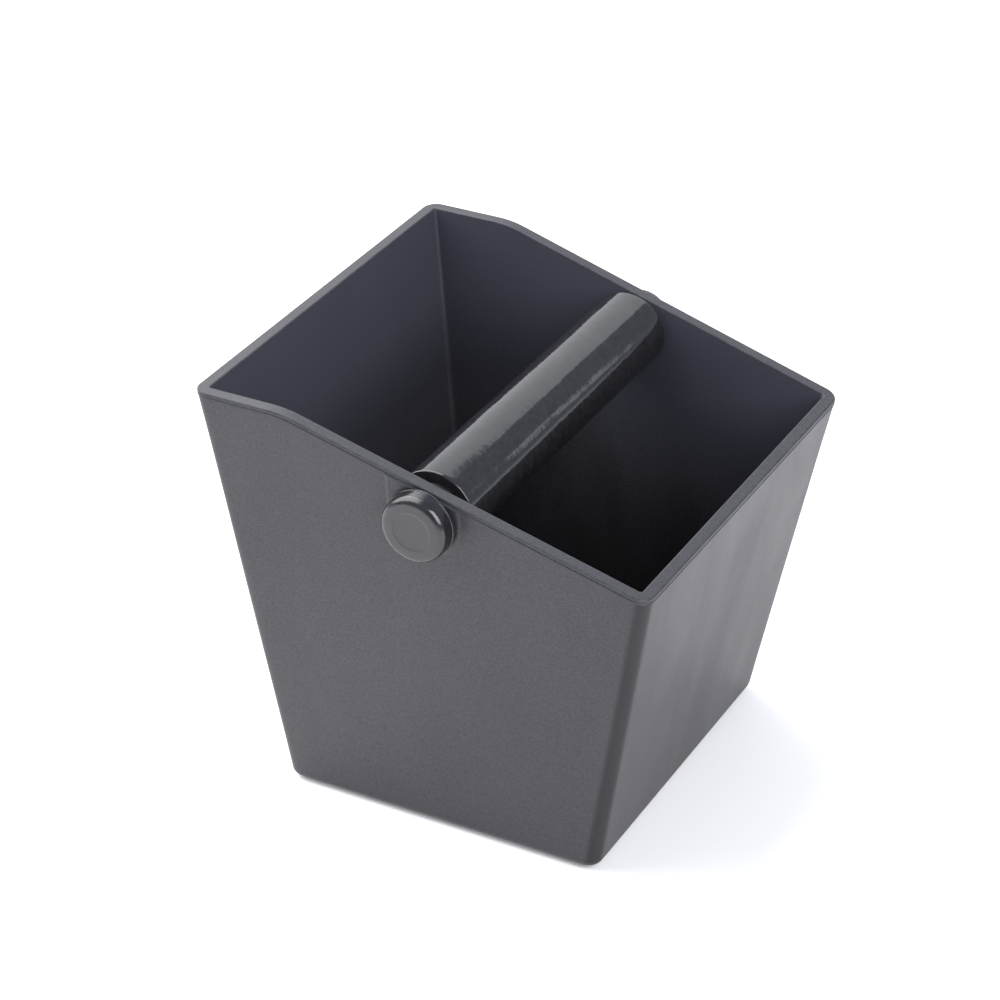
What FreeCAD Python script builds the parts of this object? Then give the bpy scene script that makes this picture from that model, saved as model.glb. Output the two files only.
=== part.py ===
"""Espresso knock box: a tapered bucket with a sloping rim and a rubber-sleeved knock bar.

Millimetres. +Z is up, +X points to the low end of the rim, and the bar lies along Y.
The origin is on the table, below the middle of the whole object.
The front is the -Y side: its knob unscrews so that the bar can be drawn out for washing.
The bodies are built about the middle of the bucket, and each piece is moved along Y to the
origin as it is written, because the front knob stands out further than the rear cap.
"""
import FreeCAD, Part
import os
import Sketcher

Vector = FreeCAD.Vector

DIMENSIONS = {
    # bucket
    "rim_length": 155.0,      # along X, from the high end of the rim to the low end
    "rim_width": 149.0,       # along Y, at the high end
    "high_rim": 150.0,        # height of the level stretch of the rim
    "low_rim": 115.0,         # height of the low end of the rim
    "level_stretch": 32.0,    # length of the level stretch, from the high end
    "bend_radius": 36.0,      # where the level stretch turns into the slope
    "high_end_draft": 0.119,  # outward run of the high end wall per unit of height
    "low_end_draft": 0.203,   # the same for the low end wall
    "side_draft": 0.099,      # the same for both side walls
    "wall": 4.2,
    "floor": 4.0,
    "corner_round": 5.0,
    "inside_corner": 1.2,
    "bottom_round": 2.6,
    "floor_round": 4.0,
    "rim_outer_round": 0.7,
    "rim_inner_round": 0.5,
    "bead_drop": 1.4,         # from the rim down to the top of the bead
    "bead_thick": 0.5,
    "bead_proud": 0.2,
    "pad_radius": 12.9,       # raised pad round each bar hole, carried up to the bead
    "pad_proud": 0.35,
    "foot_radius": 7.0,
    "foot_thick": 2.5,
    "foot_proud": 1.0,        # the bucket stands this far off the table
    "foot_gap": 0.1,
    "foot_inset": 15.0,       # from the edges of the underside to a foot's centre
    # knock bar
    "bar_x": 3.0,
    "bar_z": 124.2,
    "tube_radius": 6.0,
    "tube_inside": 4.8,
    "tube_half": 73.5,
    "sleeve_radius": 13.4,
    "sleeve_half": 65.5,
    "sleeve_round": 1.2,
    "spacer_radius": 9.0,
    "spacer_thick": 0.8,
    "running_gap": 0.06,      # radial clearance of the tube in its bushes
    "seat_gap": 0.02,         # round a bush in its wall
    "bush_radius": 8.0,
    "bush_end": 66.7,         # inner end of a bush, from the middle of the bar
    "flange_radius": 10.6,
    "flange_face": 73.5,      # outer face of a bush, from the middle of the bar
    # front knob
    "knob_radius": 11.6,
    "knob_base": 73.8,
    "knob_face": 80.2,
    "knob_lip": 0.9,
    "knob_lip_step": 0.25,
    "knob_taper": 0.3,        # how much narrower the flank is at the face
    "knob_dish": 0.15,
    "knob_dish_radius": 6.2,
    "knob_round": 4.0,
    "recess_radius": 8.8,
    "recess_depth": 0.8,
    # rear cap
    "cap_radius": 9.6,
    "cap_face": 78.2,
    "cap_round": 1.6,
    "cap_head_start": 75.4,
    "cap_head_end": 76.8,
    # washers, studs and inserts
    "washer_radius": 8.3,
    "washer_inside": 4.3,
    "washer_start": 73.7,
    "washer_thick": 0.6,
    "stud_radius": 4.0,
    "stud_tip": 60.5,
    "stud_chamfer": 0.8,
    "stud_head_radius": 5.5,
    "stud_head_start": 75.4,
    "stud_head_end": 78.0,
    "thread_gap": 0.08,
    "insert_length": 14.0,
}

# The rim's slope, and the heights and half sizes of the bucket at a height z, as expressions.
SLOPE = "((dims.high_rim - dims.low_rim) / (dims.rim_length - dims.level_stretch))"
BEND_X = "(dims.level_stretch - dims.rim_length / 2)"
BEYOND = 30.0  # how far cutting shapes reach past the bucket


def high_side(z):
    """Distance from the YZ plane to the high end wall at height z."""
    return f"dims.rim_length / 2 - dims.high_end_draft * (dims.high_rim - ({z}))"


def low_side(z):
    """Distance from the YZ plane to the low end wall at height z."""
    return f"dims.rim_length / 2 - dims.low_end_draft * (dims.low_rim - ({z}))"


def half_width(z):
    """Distance from the XZ plane to a side wall at height z."""
    return f"dims.rim_width / 2 - dims.side_draft * (dims.high_rim - ({z}))"


def make_sheet(doc):
    sheet = doc.addObject("Spreadsheet::Sheet", "dims")
    for row, (alias, value) in enumerate(DIMENSIONS.items(), start=1):
        sheet.set(f"A{row}", alias)
        sheet.set(f"B{row}", str(value))
        sheet.setAlias(f"B{row}", alias)
    doc.recompute()
    return sheet


def new_body(doc, name):
    body = doc.addObject("PartDesign::Body", name)
    body.Label = name
    return body


def origin_plane(body, role):
    return next(item for item in body.Origin.OriginFeatures if item.Role == role)


def new_sketch(body, name, role, lift=None):
    """A sketch on one of the body's own origin planes, lifted along its normal."""
    sketch = body.newObject("Sketcher::SketchObject", name)
    sketch.AttachmentSupport = [(origin_plane(body, role), "")]
    sketch.MapMode = "FlatFace"
    if lift is not None:
        sketch.setExpression("AttachmentOffset.Base.z", lift)
    return sketch


def bind(sketch, constraint, name, expression):
    """Add a constraint and drive it from the sheet."""
    index = sketch.addConstraint(constraint)
    sketch.renameConstraint(index, name)
    sketch.setExpression(f"Constraints.{name}", expression)


def evaluate(sketch, expression):
    return float(sketch.evalExpression(expression))


def polygon(sketch, corners):
    """A closed outline through corners, each an (x, y) pair of expressions."""
    places = [Vector(evaluate(sketch, x), evaluate(sketch, y), 0) for x, y in corners]
    count = len(places)
    for index, start in enumerate(places):
        sketch.addGeometry(Part.LineSegment(start, places[(index + 1) % count]), False)
    for index in range(count):
        sketch.addConstraint(Sketcher.Constraint("Coincident", index, 2, (index + 1) % count, 1))
    for index, (x, y) in enumerate(corners):
        across = Sketcher.Constraint("DistanceX", -1, 1, index, 1, places[index].x)
        bind(sketch, across, f"x{index}", x)
        up = Sketcher.Constraint("DistanceY", -1, 1, index, 1, places[index].y)
        bind(sketch, up, f"y{index}", y)


def circle(sketch, x, y, radius, name):
    """A circle whose centre and radius are expressions."""
    centre = Vector(evaluate(sketch, x), evaluate(sketch, y), 0)
    size = evaluate(sketch, radius)
    index = sketch.addGeometry(Part.Circle(centre, Vector(0, 0, 1), size), False)
    bind(sketch, Sketcher.Constraint("DistanceX", -1, 1, index, 3, centre.x), f"{name}_x", x)
    bind(sketch, Sketcher.Constraint("DistanceY", -1, 1, index, 3, centre.y), f"{name}_y", y)
    bind(sketch, Sketcher.Constraint("Radius", index, size), f"{name}_r", radius)


def rounded_outline(sketch, high, low, half, radius):
    """A rectangle with round corners: -high..low along X, -half..half along Y."""
    west = -evaluate(sketch, high)
    east = evaluate(sketch, low)
    north = evaluate(sketch, half)
    round_ = evaluate(sketch, radius)
    sides = [
        (Vector(west + round_, -north, 0), Vector(east - round_, -north, 0)),
        (Vector(east, -north + round_, 0), Vector(east, north - round_, 0)),
        (Vector(east - round_, north, 0), Vector(west + round_, north, 0)),
        (Vector(west, north - round_, 0), Vector(west, -north + round_, 0)),
    ]
    for start, end in sides:
        sketch.addGeometry(Part.LineSegment(start, end), False)
    centres = [
        Vector(east - round_, -north + round_, 0),
        Vector(east - round_, north - round_, 0),
        Vector(west + round_, north - round_, 0),
        Vector(west + round_, -north + round_, 0),
    ]
    quarter = 1.5707963267948966
    for index, centre in enumerate(centres):
        ring = Part.Circle(centre, Vector(0, 0, 1), round_)
        sketch.addGeometry(Part.ArcOfCircle(ring, (index - 1) * quarter, index * quarter), False)
    for index in range(4):
        arc = 4 + index
        sketch.addConstraint(Sketcher.Constraint("Tangent", index, 2, arc, 1))
        sketch.addConstraint(Sketcher.Constraint("Tangent", arc, 2, (index + 1) % 4, 1))
    for index in (0, 2):
        sketch.addConstraint(Sketcher.Constraint("Horizontal", index))
        sketch.addConstraint(Sketcher.Constraint("Vertical", index + 1))
    for arc in (5, 6, 7):
        sketch.addConstraint(Sketcher.Constraint("Equal", 4, arc))
    bind(sketch, Sketcher.Constraint("Radius", 4, round_), "corner", radius)
    bind(sketch, Sketcher.Constraint("DistanceX", 3, 1, -1, 1, -west), "high", high)
    bind(sketch, Sketcher.Constraint("DistanceX", -1, 1, 1, 1, east), "low", low)
    bind(sketch, Sketcher.Constraint("DistanceY", -1, 1, 2, 1, north), "north", half)
    bind(sketch, Sketcher.Constraint("DistanceY", 0, 1, -1, 1, north), "south", half)


def outline_at(body, name, z, grow, radius):
    """The bucket's plan at height z, grown outwards by grow."""
    sketch = new_sketch(body, name, "XY_Plane", z)
    edges = [f"{edge(z)} + ({grow})" for edge in (high_side, low_side, half_width)]
    rounded_outline(sketch, *edges, radius)
    return sketch


def tapered_loft(doc, body, name, kind, low_z, high_z, grow, low_radius, high_radius):
    """A loft between the bucket's plans at two heights."""
    loft = body.newObject(f"PartDesign::{kind}", name)
    loft.Profile = outline_at(body, f"{name}_bottom", low_z, grow, low_radius)
    loft.Sections = [outline_at(body, f"{name}_top", high_z, grow, high_radius)]
    loft.Ruled = True
    doc.recompute()
    return loft


def cut_through(doc, body, name, sketch):
    """Pocket a sketch through the whole body, to both sides."""
    before = body.Shape.Volume
    pocket = body.newObject("PartDesign::Pocket", name)
    pocket.Profile = sketch
    pocket.Type = "ThroughAll"
    pocket.SideType = "Symmetric"
    doc.recompute()
    if body.Shape.Volume > before - 1:
        raise RuntimeError(f"{name} removed nothing")
    return pocket


def round_edges(doc, body, name, radius, chosen):
    """Fillet the edges of the body's last feature that chosen() accepts."""
    base = body.Tip
    names = []
    for index, edge in enumerate(base.Shape.Edges, start=1):
        if chosen(edge):
            names.append(f"Edge{index}")
    if not names:
        raise RuntimeError(f"{name} found no edges")
    fillet = body.newObject("PartDesign::Fillet", name)
    fillet.Base = (base, names)
    fillet.UseAllEdges = False
    fillet.setExpression("Radius", radius)
    doc.recompute()
    return fillet


def rim_line(drop, x):
    """Height of the rim's slope at x, lowered by drop."""
    return f"dims.high_rim - ({drop}) - {SLOPE} * (({x}) - {BEND_X})"


def rim_region(sketch, drop, far_z):
    """The side view between the rim line, lowered by drop, and the height far_z."""
    high_x = f"-dims.rim_length / 2 - {BEYOND}"
    low_x = f"dims.rim_length / 2 + {BEYOND}"
    polygon(sketch, [
        (high_x, f"dims.high_rim - ({drop})"),
        (BEND_X, f"dims.high_rim - ({drop})"),
        (low_x, rim_line(drop, low_x)),
        (low_x, far_z),
        (high_x, far_z),
    ])


def is_bend(sheet, drop):
    """Accepts the edge across the bucket where the rim line bends."""
    bend_x = sheet.level_stretch - sheet.rim_length / 2
    bend_z = sheet.high_rim - drop

    def test(edge):
        box = edge.BoundBox
        level = box.XLength < 0.01 and box.ZLength < 0.01
        return level and abs(box.XMin - bend_x) < 0.01 and abs(box.ZMin - bend_z) < 0.01
    return test


def make_bead(doc, sheet):
    """The thin moulded bead that runs round the bucket just below the rim."""
    body = new_body(doc, "rim_bead_shape")
    radius = "dims.corner_round + dims.bead_proud"
    tapered_loft(doc, body, "bead_envelope", "AdditiveLoft", "dims.foot_proud",
                 "dims.high_rim", "dims.bead_proud", radius, radius)
    above = new_sketch(body, "above_bead", "XZ_Plane")
    rim_region(above, "dims.bead_drop", f"dims.high_rim + {BEYOND}")
    cut_through(doc, body, "cut_above_bead", above)
    round_edges(doc, body, "bead_bend_top", "dims.bend_radius", is_bend(sheet, sheet.bead_drop))
    below = new_sketch(body, "below_bead", "XZ_Plane")
    rim_region(below, "dims.bead_drop + dims.bead_thick", f"-{BEYOND}")
    cut_through(doc, body, "cut_below_bead", below)
    round_edges(doc, body, "bead_bend_bottom", "dims.bend_radius",
                is_bend(sheet, sheet.bead_drop + sheet.bead_thick))
    return body


def make_pads(doc):
    """The slightly raised pads round the bar holes, one on each side wall."""
    envelope = new_body(doc, "pad_envelope_shape")
    tapered_loft(doc, envelope, "pad_envelope", "AdditiveLoft", "dims.foot_proud",
                 "dims.high_rim", "dims.pad_proud", "dims.corner_round", "dims.corner_round")
    body = new_body(doc, "pad_shape")
    sketch = new_sketch(body, "pad_outline", "XZ_Plane")
    left_x = "dims.bar_x - dims.pad_radius"
    right_x = "dims.bar_x + dims.pad_radius"
    drop = "dims.bead_drop + dims.bead_thick / 2"
    top_left = Vector(evaluate(sketch, left_x), evaluate(sketch, rim_line(drop, left_x)), 0)
    top_right = Vector(evaluate(sketch, right_x), evaluate(sketch, rim_line(drop, right_x)), 0)
    middle = Vector(evaluate(sketch, "dims.bar_x"), evaluate(sketch, "dims.bar_z"), 0)
    reach = evaluate(sketch, "dims.pad_radius")
    left_foot = middle + Vector(-reach, 0, 0)
    right_foot = middle + Vector(reach, 0, 0)
    half_turn = 3.141592653589793
    sketch.addGeometry(Part.LineSegment(top_left, left_foot), False)
    ring = Part.Circle(middle, Vector(0, 0, 1), reach)
    sketch.addGeometry(Part.ArcOfCircle(ring, half_turn, 2 * half_turn), False)
    sketch.addGeometry(Part.LineSegment(right_foot, top_right), False)
    sketch.addGeometry(Part.LineSegment(top_right, top_left), False)
    sketch.addConstraint(Sketcher.Constraint("Tangent", 0, 2, 1, 1))
    sketch.addConstraint(Sketcher.Constraint("Tangent", 1, 2, 2, 1))
    sketch.addConstraint(Sketcher.Constraint("Coincident", 2, 2, 3, 1))
    sketch.addConstraint(Sketcher.Constraint("Coincident", 3, 2, 0, 1))
    sketch.addConstraint(Sketcher.Constraint("Vertical", 0))
    bind(sketch, Sketcher.Constraint("Radius", 1, reach), "reach", "dims.pad_radius")
    bind(sketch, Sketcher.Constraint("DistanceX", -1, 1, 1, 3, middle.x), "across", "dims.bar_x")
    bind(sketch, Sketcher.Constraint("DistanceY", -1, 1, 1, 3, middle.y), "up", "dims.bar_z")
    bind(sketch, Sketcher.Constraint("DistanceY", -1, 1, 0, 1, top_left.y), "left_top",
         rim_line(drop, left_x))
    bind(sketch, Sketcher.Constraint("DistanceY", -1, 1, 2, 2, top_right.y), "right_top",
         rim_line(drop, right_x))
    pad = body.newObject("PartDesign::Pad", "pad_block")
    pad.Profile = sketch
    pad.SideType = "Symmetric"
    pad.setExpression("Length", f"dims.rim_width + 2 * {BEYOND}")
    doc.recompute()
    trim = body.newObject("PartDesign::Boolean", "pad_trim")
    trim.setObjects([envelope])
    trim.Type = "Common"
    body.Tip = trim
    doc.recompute()
    return body


def rim_edges(sheet, outer):
    """Accepts the outer or the inner edges of the rim's top faces."""
    slope = (sheet.high_rim - sheet.low_rim) / (sheet.rim_length - sheet.level_stretch)
    bend_x = sheet.level_stretch - sheet.rim_length / 2

    def below_rim(point):
        return sheet.high_rim - max(0, slope * (point.x - bend_x)) - point.z

    def inwards(point):
        """How far a point lies inside the bucket's outer walls."""
        fall = sheet.high_rim - point.z
        high_wall = point.x + sheet.rim_length / 2 - sheet.high_end_draft * fall
        low_wall = sheet.rim_length / 2 - point.x + sheet.low_end_draft * (point.z - sheet.low_rim)
        side_wall = sheet.rim_width / 2 - sheet.side_draft * fall - abs(point.y)
        return min(high_wall, low_wall, side_wall)

    def test(edge):
        first, last = edge.FirstParameter, edge.LastParameter
        points = [edge.valueAt(first + share * (last - first)) for share in (0, 0.5, 1)]
        on_rim = all(abs(below_rim(point)) < sheet.bead_drop / 2 for point in points)
        depths = [inwards(point) for point in points]
        if outer:
            return on_rim and max(depths) < sheet.wall / 2
        return on_rim and min(depths) > sheet.wall / 2
    return test


def foot_places():
    """The feet's names with their centres, as expressions."""
    z = "dims.foot_proud"
    high_x = f"-({high_side(z)}) + dims.foot_inset"
    low_x = f"{low_side(z)} - dims.foot_inset"
    rear_y = f"{half_width(z)} - dims.foot_inset"
    return {
        "foot_front_high": (high_x, f"-({rear_y})"),
        "foot_front_low": (low_x, f"-({rear_y})"),
        "foot_rear_high": (high_x, rear_y),
        "foot_rear_low": (low_x, rear_y),
    }


def make_bucket(doc, sheet):
    body = new_body(doc, "bucket")
    tapered_loft(doc, body, "outside", "AdditiveLoft", "dims.foot_proud", "dims.high_rim",
                 "0", "dims.corner_round", "dims.corner_round")
    above = new_sketch(body, "above_rim", "XZ_Plane")
    rim_region(above, "0", f"dims.high_rim + {BEYOND}")
    cut_through(doc, body, "cut_rim", above)
    round_edges(doc, body, "rim_bend", "dims.bend_radius", is_bend(sheet, 0))
    round_edges(doc, body, "bottom_edge", "dims.bottom_round",
                lambda edge: edge.BoundBox.ZMax < sheet.foot_proud + 0.01)

    added = body.newObject("PartDesign::Boolean", "bead_and_pads")
    added.setObjects([make_bead(doc, sheet), make_pads(doc)])
    added.Type = "Fuse"
    body.Tip = added
    doc.recompute()

    inside_floor = "dims.foot_proud + dims.floor"
    tapered_loft(doc, body, "inside", "SubtractiveLoft", inside_floor, "dims.high_rim + 5",
                 "-dims.wall", "dims.floor_round + 1.5", "dims.inside_corner")
    round_edges(doc, body, "floor_edge", "dims.floor_round",
                lambda edge: abs(edge.BoundBox.ZMax - sheet.foot_proud - sheet.floor) < 0.01
                and edge.BoundBox.ZLength < 0.01)
    round_edges(doc, body, "rim_outer", "dims.rim_outer_round", rim_edges(sheet, True))
    round_edges(doc, body, "rim_inner", "dims.rim_inner_round", rim_edges(sheet, False))

    holes = new_sketch(body, "bar_hole", "XZ_Plane")
    circle(holes, "dims.bar_x", "dims.bar_z", "dims.bush_radius + dims.seat_gap", "hole")
    cut_through(doc, body, "bar_holes", holes)

    before = body.Shape.Volume
    seats = new_sketch(body, "foot_seat", "XY_Plane", "dims.foot_proud")
    for name, (x, y) in foot_places().items():
        circle(seats, x, y, "dims.foot_radius + dims.foot_gap", name)
    pocket = body.newObject("PartDesign::Pocket", "foot_seats")
    pocket.Profile = seats
    pocket.Reversed = True
    pocket.setExpression("Length", "dims.foot_thick - dims.foot_proud")
    doc.recompute()
    if body.Shape.Volume > before - 1:
        raise RuntimeError("the foot seats removed nothing")
    return body


def make_foot(doc, name, x, y):
    body = new_body(doc, name)
    sketch = new_sketch(body, f"{name}_disc", "XY_Plane")
    circle(sketch, x, y, "dims.foot_radius", "disc")
    pad = body.newObject("PartDesign::Pad", f"{name}_pad")
    pad.Profile = sketch
    pad.setExpression("Length", "dims.foot_thick")
    doc.recompute()
    round_edges(doc, body, f"{name}_edge", "dims.foot_proud / 2",
                lambda edge: edge.BoundBox.ZMax < 0.01)
    return body


def revolve(doc, body, name, outline):
    """Turn an outline of (place along Y, radius) expressions about the body's Y axis."""
    sketch = new_sketch(body, f"{name}_profile", "YZ_Plane")
    polygon(sketch, outline)
    revolution = body.newObject("PartDesign::Revolution", name)
    revolution.Profile = sketch
    revolution.ReferenceAxis = (sketch, ["H_Axis"])
    revolution.Angle = 360
    doc.recompute()


def turned(doc, name, outline):
    """A piece turned about the bar's axis."""
    body = new_body(doc, name)
    body.setExpression("Placement.Base.x", "dims.bar_x")
    body.setExpression("Placement.Base.z", "dims.bar_z")
    revolve(doc, body, f"{name}_turned", outline)
    return body


def ring_at(place, radius):
    """Accepts the circular edge of this radius at this place along Y."""
    def test(edge):
        curve = edge.Curve
        if not isinstance(curve, Part.Circle):
            return False
        return abs(curve.Radius - radius) < 0.01 and abs(curve.Center.y - place) < 0.01
    return test


def make_tube(doc):
    """The steel tube that the bar turns on."""
    return turned(doc, "bar_tube", [
        ("-dims.tube_half", "dims.tube_inside"),
        ("-dims.tube_half", "dims.tube_radius"),
        ("dims.tube_half", "dims.tube_radius"),
        ("dims.tube_half", "dims.tube_inside"),
    ])


def make_sleeve(doc, sheet):
    """The rubber sleeve that portafilters are knocked against."""
    body = turned(doc, "bar_sleeve", [
        ("-dims.sleeve_half", "dims.tube_radius"),
        ("-dims.sleeve_half", "dims.sleeve_radius"),
        ("dims.sleeve_half", "dims.sleeve_radius"),
        ("dims.sleeve_half", "dims.tube_radius"),
    ])
    round_edges(doc, body, "sleeve_ends", "dims.sleeve_round",
                lambda edge: ring_at(-sheet.sleeve_half, sheet.sleeve_radius)(edge)
                or ring_at(sheet.sleeve_half, sheet.sleeve_radius)(edge))
    return body


def ring_piece(doc, name, start, end, inside, outside):
    """A plain ring about the bar's axis."""
    return turned(doc, name, [(start, inside), (start, outside), (end, outside), (end, inside)])


def make_bush(doc, name, side):
    """A bearing bush: a barrel in the wall and a flange that fills the wall's lean."""
    body = new_body(doc, name)
    body.setExpression("Placement.Base.x", "dims.bar_x")
    body.setExpression("Placement.Base.z", "dims.bar_z")
    bore = "dims.tube_radius + dims.running_gap"
    face = f"{side} * dims.flange_face"

    flange_start = f"{side} * (dims.bush_end + 1)"
    revolve(doc, body, f"{name}_flange", [
        (flange_start, bore),
        (flange_start, "dims.flange_radius"),
        (face, "dims.flange_radius"),
        (face, bore),
    ])

    # The wall leans, so the flange keeps only what lies outside its pad.
    past = "(dims.flange_radius + 1)"
    proud = "dims.pad_proud + dims.seat_gap"
    wall_low = f"{side} * ({half_width(f'dims.bar_z - {past}')} + {proud})"
    wall_high = f"{side} * ({half_width(f'dims.bar_z + {past}')} + {proud})"
    inner = f"{side} * dims.bush_end"
    lean = new_sketch(body, f"{name}_lean", "YZ_Plane")
    polygon(lean, [(inner, f"-{past}"), (wall_low, f"-{past}"), (wall_high, past), (inner, past)])
    cut_through(doc, body, f"{name}_lean_cut", lean)

    revolve(doc, body, f"{name}_barrel", [
        (inner, bore),
        (inner, "dims.bush_radius"),
        (face, "dims.bush_radius"),
        (face, bore),
    ])
    return body


def make_knob(doc, sheet):
    """The glossy front knob, moulded round the head of its stud."""
    shoulder = "dims.knob_radius - dims.knob_lip_step"
    recess = "dims.knob_base + dims.recess_depth"
    dish = "dims.knob_face - dims.knob_dish"
    body = turned(doc, "front_knob", front_side([
        (recess, "dims.stud_radius"),
        (recess, "dims.recess_radius"),
        ("dims.knob_base", "dims.recess_radius"),
        ("dims.knob_base", "dims.knob_radius"),
        ("dims.knob_base + dims.knob_lip", "dims.knob_radius"),
        ("dims.knob_base + dims.knob_lip", shoulder),
        ("dims.knob_face", f"{shoulder} - dims.knob_taper"),
        ("dims.knob_face", "dims.knob_dish_radius"),
        (dish, "dims.knob_dish_radius - 2 * dims.knob_dish"),
        (dish, "0"),
        ("dims.stud_head_end", "0"),
        ("dims.stud_head_end", "dims.stud_head_radius"),
        ("dims.stud_head_start", "dims.stud_head_radius"),
        ("dims.stud_head_start", "dims.stud_radius"),
    ]))
    face_edge = sheet.knob_radius - sheet.knob_lip_step - sheet.knob_taper
    round_edges(doc, body, "knob_crown", "dims.knob_round", ring_at(-sheet.knob_face, face_edge))
    return body


def make_cap(doc, sheet):
    """The low rear cap, moulded round the head of its stud."""
    recess = "dims.knob_base + dims.recess_depth"
    body = turned(doc, "rear_cap", [
        (recess, "dims.stud_radius"),
        (recess, "dims.recess_radius"),
        ("dims.knob_base", "dims.recess_radius"),
        ("dims.knob_base", "dims.cap_radius"),
        ("dims.cap_face", "dims.cap_radius"),
        ("dims.cap_face", "0"),
        ("dims.cap_head_end", "0"),
        ("dims.cap_head_end", "dims.stud_head_radius"),
        ("dims.cap_head_start", "dims.stud_head_radius"),
        ("dims.cap_head_start", "dims.stud_radius"),
    ])
    round_edges(doc, body, "cap_crown", "dims.cap_round",
                ring_at(sheet.cap_face, sheet.cap_radius))
    return body


def stud_outline(head_start, head_end):
    """A threaded stud with a head that its knob or cap is moulded round."""
    return [
        ("dims.stud_tip", "0"),
        ("dims.stud_tip", "dims.stud_radius - dims.stud_chamfer"),
        ("dims.stud_tip + dims.stud_chamfer", "dims.stud_radius"),
        (head_start, "dims.stud_radius"),
        (head_start, "dims.stud_head_radius"),
        (head_end, "dims.stud_head_radius"),
        (head_end, "0"),
    ]


def front_side(outline):
    """The same outline on the -Y side."""
    return [(f"-({place})", radius) for place, radius in outline]


def make_end(doc, end, side):
    """What the bar has at both ends: end is front or rear, and side is its sign along Y."""
    return [
        make_bush(doc, f"{end}_bush", side),
        ring_piece(doc, f"{end}_spacer", f"{side} * dims.sleeve_half",
                   f"{side} * (dims.sleeve_half + dims.spacer_thick)",
                   "dims.tube_radius", "dims.spacer_radius"),
        ring_piece(doc, f"{end}_insert", f"{side} * (dims.tube_half - dims.insert_length)",
                   f"{side} * dims.tube_half",
                   "dims.stud_radius + dims.thread_gap", "dims.tube_inside"),
        ring_piece(doc, f"{end}_washer", f"{side} * dims.washer_start",
                   f"{side} * (dims.washer_start + dims.washer_thick)",
                   "dims.washer_inside", "dims.washer_radius"),
    ]


def check_and_write(doc, sheet, pieces):
    """Refuse any failed object or bad shape, then write each piece to its own file."""
    to_origin = Vector(0, (sheet.knob_face - sheet.cap_face) / 2, 0)
    for item in doc.Objects:
        if "Invalid" in item.State or "Error" in item.State:
            raise RuntimeError(f"{item.Name} failed: {item.State}")
    for piece in pieces:
        shape = piece.Shape
        if shape.isNull() or not shape.isValid() or len(shape.Solids) != 1:
            raise RuntimeError(f"{piece.Label} is not one sound solid")
    for piece in pieces:
        piece.Shape.translated(to_origin).exportStep(f"parts/{piece.Label}.step")
        print(f"{piece.Label}: {piece.Shape.Volume / 1000:.2f} cm3")


def main():
    os.makedirs("parts", exist_ok=True)
    doc = FreeCAD.newDocument("knock_box")
    sheet = make_sheet(doc)
    pieces = [make_bucket(doc, sheet)]
    for name, (x, y) in foot_places().items():
        pieces.append(make_foot(doc, name, x, y))
    pieces.append(make_tube(doc))
    pieces.append(make_sleeve(doc, sheet))
    pieces.extend(make_end(doc, "front", "(-1)"))
    pieces.extend(make_end(doc, "rear", "(1)"))
    pieces.append(make_knob(doc, sheet))
    front_stud = stud_outline("dims.stud_head_start", "dims.stud_head_end")
    pieces.append(turned(doc, "front_stud", front_side(front_stud)))
    pieces.append(make_cap(doc, sheet))
    rear_stud = stud_outline("dims.cap_head_start", "dims.cap_head_end")
    pieces.append(turned(doc, "rear_stud", rear_stud))
    doc.recompute()
    check_and_write(doc, sheet, pieces)


main()
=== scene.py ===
"""Espresso knock box: the looks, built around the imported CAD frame. Metres, +Z up, front is -Y."""
import math

import bmesh
import bpy
import numpy as np
from mathutils import Matrix, Vector, noise


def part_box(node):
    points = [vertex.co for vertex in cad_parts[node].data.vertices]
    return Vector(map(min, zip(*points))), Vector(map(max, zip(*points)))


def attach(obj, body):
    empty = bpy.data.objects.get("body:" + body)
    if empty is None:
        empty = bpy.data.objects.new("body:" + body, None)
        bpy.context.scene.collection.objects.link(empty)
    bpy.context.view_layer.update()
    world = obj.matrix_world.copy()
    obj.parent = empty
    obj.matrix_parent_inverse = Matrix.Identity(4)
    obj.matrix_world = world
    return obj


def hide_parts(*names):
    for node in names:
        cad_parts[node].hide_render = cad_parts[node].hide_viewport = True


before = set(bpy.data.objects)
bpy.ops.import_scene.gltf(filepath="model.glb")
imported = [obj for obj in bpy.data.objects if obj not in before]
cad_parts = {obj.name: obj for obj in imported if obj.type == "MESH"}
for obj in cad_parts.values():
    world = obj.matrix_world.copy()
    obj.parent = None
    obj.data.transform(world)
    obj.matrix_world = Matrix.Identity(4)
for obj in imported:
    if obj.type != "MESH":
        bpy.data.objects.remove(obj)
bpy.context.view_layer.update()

MM = 0.001

# Millimetres, the same as the CAD model's.
RIM_LENGTH = 155.0
RIM_WIDTH = 149.0
HIGH_RIM = 150.0
LOW_RIM = 115.0
BEND_X = 32.0 - RIM_LENGTH / 2
BEND_RADIUS = 36.0
SLOPE = (HIGH_RIM - LOW_RIM) / (RIM_LENGTH / 2 - BEND_X)
HIGH_END_DRAFT = 0.119
LOW_END_DRAFT = 0.203
SIDE_DRAFT = 0.099
WALL = 4.2
FLOOR = 4.0
FOOT_PROUD = 1.0
CORNER_ROUND = 5.0
BOTTOM_ROUND = 2.6
FLOOR_ROUND = 4.0
RIM_OUTER_ROUND = 0.7
RIM_INNER_ROUND = 0.5
PAD_RADIUS = 12.9
PAD_PROUD = 0.35
HOLE_RADIUS = 8.02
HEAD_RADIUS = 5.5
SHANK_RADIUS = 4.0
RECESS_RADIUS = 8.8
RECESS_DEPTH = 0.8
FOOT_GAP = 0.1
TUBE_WALL = 1.2
SPACER_BORE = 6.0
WASHER_BORE = 4.3

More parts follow.
